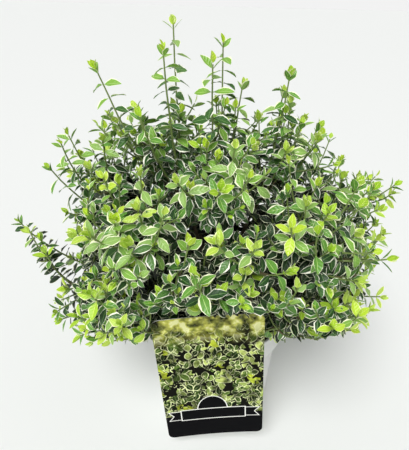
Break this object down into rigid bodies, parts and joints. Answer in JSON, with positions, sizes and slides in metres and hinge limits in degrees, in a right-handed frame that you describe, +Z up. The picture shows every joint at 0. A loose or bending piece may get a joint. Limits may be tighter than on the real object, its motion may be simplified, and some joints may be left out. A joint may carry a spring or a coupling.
{
  "type": "potted evergreen shrub",
  "caption": "Bushy variegated evergreen shrub with upright leafy shoots, growing in a round plastic nursery pot with a hanging label card.",
  "frame": {"origin": "centre of the pot's flat underside", "axes": "+Z up, -Y towards the label card at the front, +X to the right seen from the front"},
  "size_m": [0.3373, 0.2666, 0.3657],
  "materials": {
    "pot": "white moulded plastic",
    "soil": "moist dark peat",
    "label": "printed card, leafy print over a black band",
    "hook": "black plastic strap",
    "bark": "green-brown bark",
    "leaves": "leathery dark green with cream margins, bright yellow-green at the tips"
  },
  "bodies": {
    "root": {"pot": "pot", "soil": "soil", "label_card": "label", "label_hook": "hook", "main_stem": "bark", "bough_low_right": "bark", "bough_low_back_right": "bark", "bough_low_back": "bark", "bough_low_back_left": "bark", "bough_low_left": "bark", "bough_low_front_left": "bark", "bough_low_front": "bark", "bough_low_front_right": "bark", "bough_mid_right": "bark", "bough_mid_back_right": "bark", "bough_mid_back_left": "bark", "bough_mid_left": "bark", "bough_mid_front_left": "bark", "bough_mid_front_right": "bark", "bough_top_right": "bark", "bough_top_back": "bark", "bough_top_left": "bark", "bough_top_front": "bark", "foliage_low_right": "leaves", "foliage_low_back_right": "leaves", "foliage_low_back": "leaves", "foliage_low_back_left": "leaves", "foliage_low_left": "leaves", "foliage_low_front_left": "leaves", "foliage_low_front": "leaves", "foliage_low_front_right": "leaves", "foliage_mid_right": "leaves", "foliage_mid_back_right": "leaves", "foliage_mid_back_left": "leaves", "foliage_mid_left": "leaves", "foliage_mid_front_left": "leaves", "foliage_mid_front_right": "leaves", "foliage_top_right": "leaves", "foliage_top_back": "leaves", "foliage_top_left": "leaves", "foliage_top_front": "leaves"}
  },
  "joints": []
}
